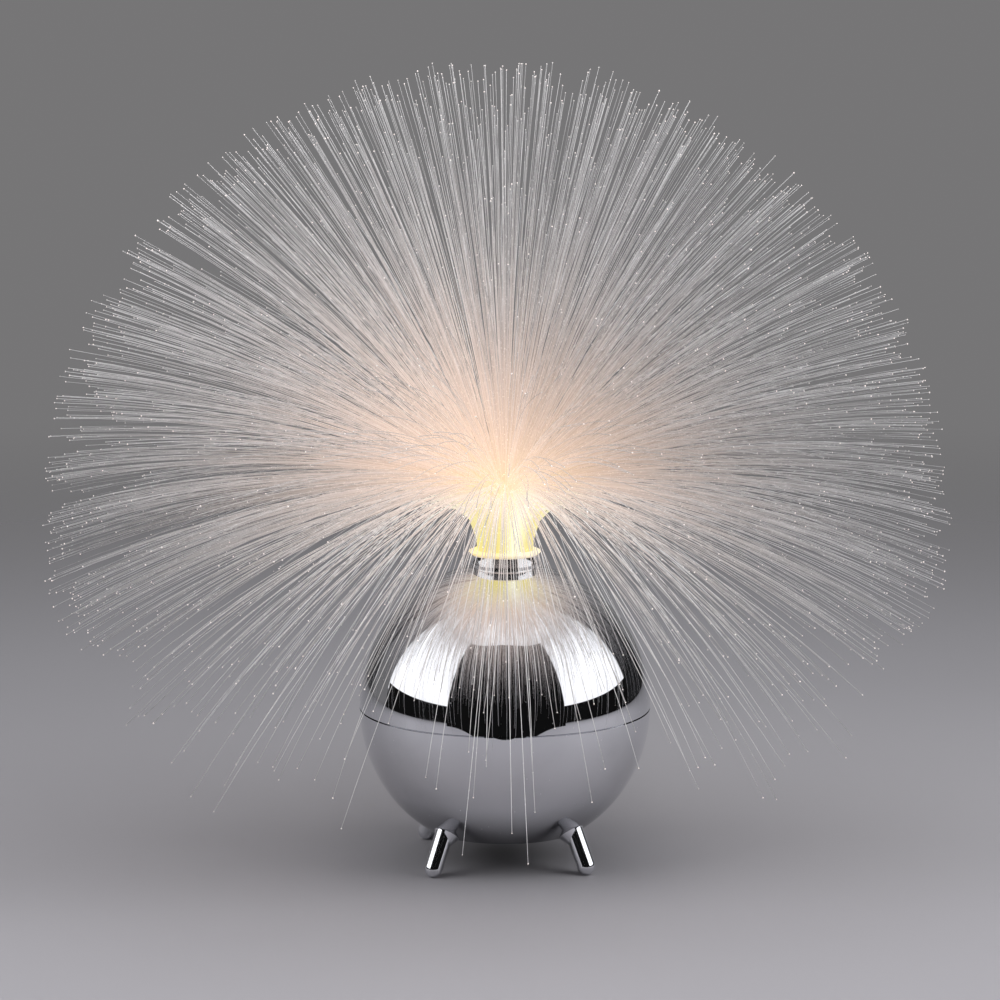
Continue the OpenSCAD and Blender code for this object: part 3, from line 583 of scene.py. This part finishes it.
def body_along(s, lean, azimuth, bright):
    """Base colour at each point: darker at the root, as painted shade deep in the spray, and towards the
    tip, times the fibre's own bright.

    Painted light and shade: fibres that lie level or stand upright are a little darker, and of those
    that rise at a slant the left ones are brighter than the right ones, as if lit from the left."""
    pale = (0.74 - 0.10 * s / LONGEST) * (1 - 0.78 * np.exp(-(s / SHADE_REACH) ** 2))
    # Painted light and shade by lean and side: level and upright fibres darker, slanting ones lighter on the
    # left than on the right.
    level = np.exp(-((lean - 1.55) / 0.30) ** 2)
    key = 0.15 * np.clip(np.sin(2 * lean), 0, 1) * np.cos(azimuth)
    upright = 0.08 * np.exp(-(lean / 0.5) ** 2)
    pale *= (bright - key - upright - level * (0.15 - 0.05 * np.cos(azimuth)))[:, None]
    # Painted highlight: the hanging fringe is a tenth brighter, so it shows up against the ball.
    pale *= 1 + 0.1 * np.clip((lean - 1.9) / 0.3, 0, 1)[:, None]      # the fringe shows up against the ball
    return pale[..., None] * np.array([1.0, 0.985, 1.0])


def new_mesh(name, verts, faces):
    """A mesh from a corner array and a list of face arrays of three or four corners."""
    mesh = bpy.data.meshes.new(name)
    loops = np.concatenate([f.ravel() for f in faces])
    counts = np.concatenate([np.full(len(f), f.shape[1]) for f in faces])
    mesh.vertices.add(len(verts))
    mesh.vertices.foreach_set("co", verts.astype(np.float32).ravel())
    mesh.loops.add(len(loops))
    mesh.loops.foreach_set("vertex_index", loops.astype(np.int32))
    mesh.polygons.add(len(counts))
    starts = np.concatenate([[0], np.cumsum(counts)[:-1]])
    mesh.polygons.foreach_set("loop_start", starts.astype(np.int32))
    mesh.polygons.foreach_set("use_smooth", np.ones(len(counts), bool))
    mesh.update(calc_edges=True)
    return mesh


def paint(mesh, name, colours):
    """Keeps one colour a corner on the mesh as an attribute."""
    rgba = np.concatenate([colours, np.ones((len(colours), 1))], 1).astype(np.float32)
    mesh.attributes.new(name, "FLOAT_COLOR", "POINT").data.foreach_set("color", rgba.ravel())


# %% [markdown]
# Clear plastic fibre looks pale where it catches the studio light and takes a little of the grey
# behind it elsewhere. Seen from further than a hand's width one fibre is thinner than a dot of the
# picture, so a pale, glossy, solid shader does the work of real refraction. Its colour comes from an
# attribute too: dark at the root, which is painted shade, palest midway and a little greyer again at
# the tip, with painted light and shade that follow how each fibre leans.


# %% Fibre finish
def fibre_finish(name):
    """Pale glossy fibre: base colour and light from the mesh's own attributes, flaws from noise."""
    f = Finish(name)
    light = f.node("ShaderNodeAttribute", {"attribute_name": "light"})["Color"]
    body = f.node("ShaderNodeAttribute", {"attribute_name": "body"})["Color"]
    flaws = f.noise(700, 2).above(0.62, 0.7)
    return f.surface(Base_Color=f.mix(0.5 * flaws, body, rgb(1, 1, 1)), Roughness=0.22 + 0.2 * flaws,
                     Emission_Color=light, Emission_Strength=1.0)


fibre = fibre_finish("fibre")
wedge = np.floor(np.mod(azimuth - WEDGE_START, 2 * math.pi) / (math.pi / 3)).astype(int)
thin = FIBRE_R * (1 - 0.25 * (along / LONGEST))
for w in range(6):
    mine = np.flatnonzero(wedge == w)
    corners = rings(strands[mine], thin[mine])
    tube_verts = corners.reshape(-1, 3)
    quads = tube_faces(len(mine), POINTS)
    bead_verts, triangles = beads(strands[mine, -1], rng.uniform(*BEAD_R, len(mine)))
    mesh = new_mesh(f"fibres_{w + 1}", np.concatenate([tube_verts, bead_verts]),
                    [quads, triangles + len(tube_verts)])
    lit = light_along(along[mine], root[mine, 0], lean[mine], azimuth[mine])
    lit = np.repeat(lit, SIDES, axis=1).reshape(-1, 3)
    spark = rng.uniform(0.10, 0.85, (len(mine), 1)) * np.array([1.0, 0.82, 0.76])
    paint(mesh, "light", np.concatenate([lit, np.repeat(spark, BEAD_CORNERS, axis=0)]))
    pale = body_along(along[mine], lean[mine], azimuth[mine], rng.uniform(0.74, 1.22, len(mine)))
    pale = np.repeat(pale, SIDES, axis=1).reshape(-1, 3)
    paint(mesh, "body", np.concatenate([pale, np.full((len(bead_verts), 3), 0.8)]))
    mesh.materials.append(fibre)
    piece = bpy.data.objects.new(f"fibres_{w + 1}", mesh)
    bpy.context.scene.collection.objects.link(piece)
    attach(piece, "spray")
    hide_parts(f"fibre_spray_{w + 1}")
    print(piece.name, "fibres:", len(mine), "faces:", len(mesh.polygons))

# %% [markdown]
# The studio. The floor is grey, and painted paler in front and beside the lamp than behind it, which is
# painted light; it fades into the grey of the room. A chromed ball shows whatever stands round it, so
# the room is arranged as in the photograph: a large soft light at each side, a dark gap between them
# behind the camera, and a dark edge of the table below them. The dark cards are seen only in
# reflections, and cast no shadow.

# %% Floor and world
ROOM = 0.182             # grey of the room behind the lamp


def floor_finish(name):
    """Grey floor with painted light and shade: paler in front and at both sides of the lamp, more so at
    its right, and darker straight behind it and further back, with a fine grain, fading out into the room.

    It isn't there from below, so that the underside of the lamp can be looked at."""
    f = Finish(name)
    x, y, _ = f.axes()
    away = (x * x + y * y) ** 0.5
    grain = f.noise(900, 2)
    # Painted light and shade: paler in front and at both sides, more at the right, darker straight behind the
    # lamp and further back.
    side = x.math("ABSOLUTE").above(0.03, 0.09)
    painted_light_flank = f.mix(x.above(-0.05, 0.05), rgb(0.328, 0.321, 0.343), rgb(0.352, 0.345, 0.368))
    beside = f.mix(side, rgb(0.292, 0.286, 0.306), painted_light_flank)
    near = f.mix(y.above(-0.11, 0.0), rgb(0.368, 0.360, 0.386), beside)
    grey = f.mix(y.above(0.04, 0.38), near, rgb(0.285, 0.280, 0.299))
    shade = f.node("ShaderNodeBsdfPrincipled", None, Base_Color=grey, Roughness=0.42 + 0.06 * grain,
                   Specular_IOR_Level=0.05)["BSDF"]
    clear = f.node("ShaderNodeBsdfTransparent")["BSDF"]
    hidden = away.above(0.35, 1.5).math("MAXIMUM", f.node("ShaderNodeNewGeometry")["Backfacing"])
    both = f.node("ShaderNodeMixShader", None, hidden, shade, clear)["Shader"]
    f.node("ShaderNodeOutputMaterial", None, Surface=both)
    return f.material


def disc(name, radius, turns, steps):
    """Flat disc at z = 0 as a polar grid: x = r cos a, y = r sin a."""
    r = (np.linspace(0, 1, steps + 1)[1:] ** 1.5 * radius)[:, None]
    a = np.linspace(0, 2 * math.pi, turns, endpoint=False)[None, :]
    grid = np.stack([r * np.cos(a), r * np.sin(a), np.zeros((steps, turns))], -1).reshape(-1, 3)
    i, j = np.meshgrid(np.arange(steps - 1), np.arange(turns), indexing="ij")
    here, after = i * turns + j, i * turns + (j + 1) % turns
    quads = np.stack([here, here + turns, after + turns, after], -1).reshape(-1, 4)
    middle = len(grid)
    j = np.arange(turns)
    fan = np.stack([np.full(turns, middle), j, (j + 1) % turns], -1)
    mesh = new_mesh(name, np.concatenate([grid, [[0, 0, 0]]]), [quads, fan])
    return bpy.data.objects.new(name, mesh)


floor = disc("floor", 3.5, 96, 40)
floor.data.materials.append(floor_finish("floor"))
bpy.context.scene.collection.objects.link(floor)

world = bpy.data.worlds.new("room")
world.use_nodes = True
tree = world.node_tree
tree.nodes.clear()
path = tree.nodes.new("ShaderNodeLightPath")
seen = path.outputs["Is Camera Ray"]
for kind in ("Is Glossy Ray", "Is Transmission Ray"):
    either = tree.nodes.new("ShaderNodeMath")
    either.operation = "MAXIMUM"
    tree.links.new(seen, either.inputs[0])
    tree.links.new(path.outputs[kind], either.inputs[1])
    seen = either.outputs[0]
fill_light = tree.nodes.new("ShaderNodeBackground")
fill_light.inputs["Color"].default_value = rgb(0.09, 0.089, 0.093)
shown = tree.nodes.new("ShaderNodeBackground")
shown.inputs["Color"].default_value = rgb(ROOM, ROOM * 0.985, ROOM)
both = tree.nodes.new("ShaderNodeMixShader")
tree.links.new(seen, both.inputs[0])
tree.links.new(fill_light.outputs[0], both.inputs[1])
tree.links.new(shown.outputs[0], both.inputs[2])
out = tree.nodes.new("ShaderNodeOutputWorld")
tree.links.new(both.outputs[0], out.inputs["Surface"])
bpy.context.scene.world = world
print("floor and world made")


# %% Soft lights and dark cards
def patch(azimuths, elevations, distance, across=33, up=13):
    """Grid on a sphere round the ball's middle; each border and the distance may depend on the azimuth."""
    a = np.linspace(*azimuths, across)[None, :]
    low, high = [border(a) if callable(border) else border + 0 * a for border in elevations]
    e = np.radians(low + (high - low) * np.linspace(0, 1, up)[:, None])
    away = distance(a) if callable(distance) else distance
    a = np.radians(view_azimuth + a)
    grid = np.stack(np.broadcast_arrays(away * np.sin(a) * np.cos(e), -away * np.cos(a) * np.cos(e),
                                        BALL_Z + away * np.sin(e)), -1).reshape(-1, 3)
    i, j = np.meshgrid(np.arange(up - 1), np.arange(across - 1), indexing="ij")
    corner = i * across + j
    quads = np.stack([corner, corner + 1, corner + across + 1, corner + across], -1).reshape(-1, 4)
    edge = np.minimum(np.linspace(0, 1, across)[None, :], np.linspace(1, 0, across)[None, :]) * (across - 1)
    rise = np.minimum(np.linspace(0, 1, up)[:, None], np.linspace(1, 0, up)[:, None]) * (up - 1)
    return grid, quads, edge, rise


def panel(name, azimuths, elevations, distance, colour, soft=0.0):
    """A glowing or dark patch round the lamp, hidden from the camera. soft dims its borders by that share."""
    grid, quads, edge, rise = patch(azimuths, elevations, distance)
    mesh = new_mesh(name, grid, [quads])
    border = np.minimum(np.clip(edge / 8, 0, 1), np.clip(rise / 5, 0, 1))
    level = (1 - soft * (1 - border) ** 2).reshape(-1, 1)
    paint(mesh, "level", level * np.array(colour))
    f = Finish(name)
    level = f.node("ShaderNodeAttribute", {"attribute_name": "level"})["Color"]
    glow = f.node("ShaderNodeEmission", None, Color=level, Strength=1.0)["Emission"]
    f.node("ShaderNodeOutputMaterial", None, Surface=glow)
    mesh.materials.append(f.material)
    piece = bpy.data.objects.new(name, mesh)
    piece.visible_camera = piece.visible_shadow = piece.visible_diffuse = piece.visible_transmission = False
    bpy.context.scene.collection.objects.link(piece)


def soft_light(name, azimuth, elevation, distance, size, radiance):
    """Square soft light aimed at the ball and not seen in mirrors.

    Its power is radiance times pi times its area."""
    data = bpy.data.lights.new(name, "AREA")
    data.size = size
    data.energy = radiance * math.pi * size * size
    light = bpy.data.objects.new(name, data)
    light.location = polar(azimuth, elevation, distance)
    light.rotation_euler = (math.radians(90 - elevation), 0, math.radians(azimuth))
    light.visible_camera = light.visible_glossy = False
    bpy.context.scene.collection.objects.link(light)


def gap_floor(a):
    """Lowest elevation of the dark gap: it dips to the near edge of the table in front of the lamp."""
    return -5.2 - 8.0 * np.exp(-(a / 24) ** 2)


def gap_away(a):
    """Distance at which the gap's lower border just stands on the floor."""
    return np.minimum(1.6, 0.062 / np.sin(np.radians(-gap_floor(a))))


panel("left_card", (-41, -106), (5, 55), 1.1, (1.80, 1.80, 1.82), soft=0.35)
panel("right_card", (45, 112), (6, 57), 1.1, (1.82, 1.82, 1.85), soft=0.35)
panel("ceiling", (-180, 180), (48, 90), 1.3, (1.50, 1.50, 1.51), soft=1.0)
panel("dark_gap", (-44, 46), (gap_floor, 55), gap_away, (0.006, 0.006, 0.006))
panel("dark_side_right", (113, 146), (-3.5, 62), 1.0, (0.02, 0.02, 0.021))
panel("dark_side_left", (-128, -146), (-3.5, 50), 1.0, (0.05, 0.05, 0.052))
panel("table_edge_left", (-40, -105), (-4.2, 8), 1.0, (0.006, 0.006, 0.006))
panel("table_edge_right", (40, 140), (-4.2, 8), 1.0, (0.006, 0.006, 0.006))
soft_light("left_light", view_azimuth - 73, 40, 1.1, 0.9, 3.0)
soft_light("right_light", view_azimuth + 77, 40, 1.1, 0.9, 3.75)
soft_light("top_light", view_azimuth, 89, 1.2, 1.2, 1.5)
print("lights and cards made")
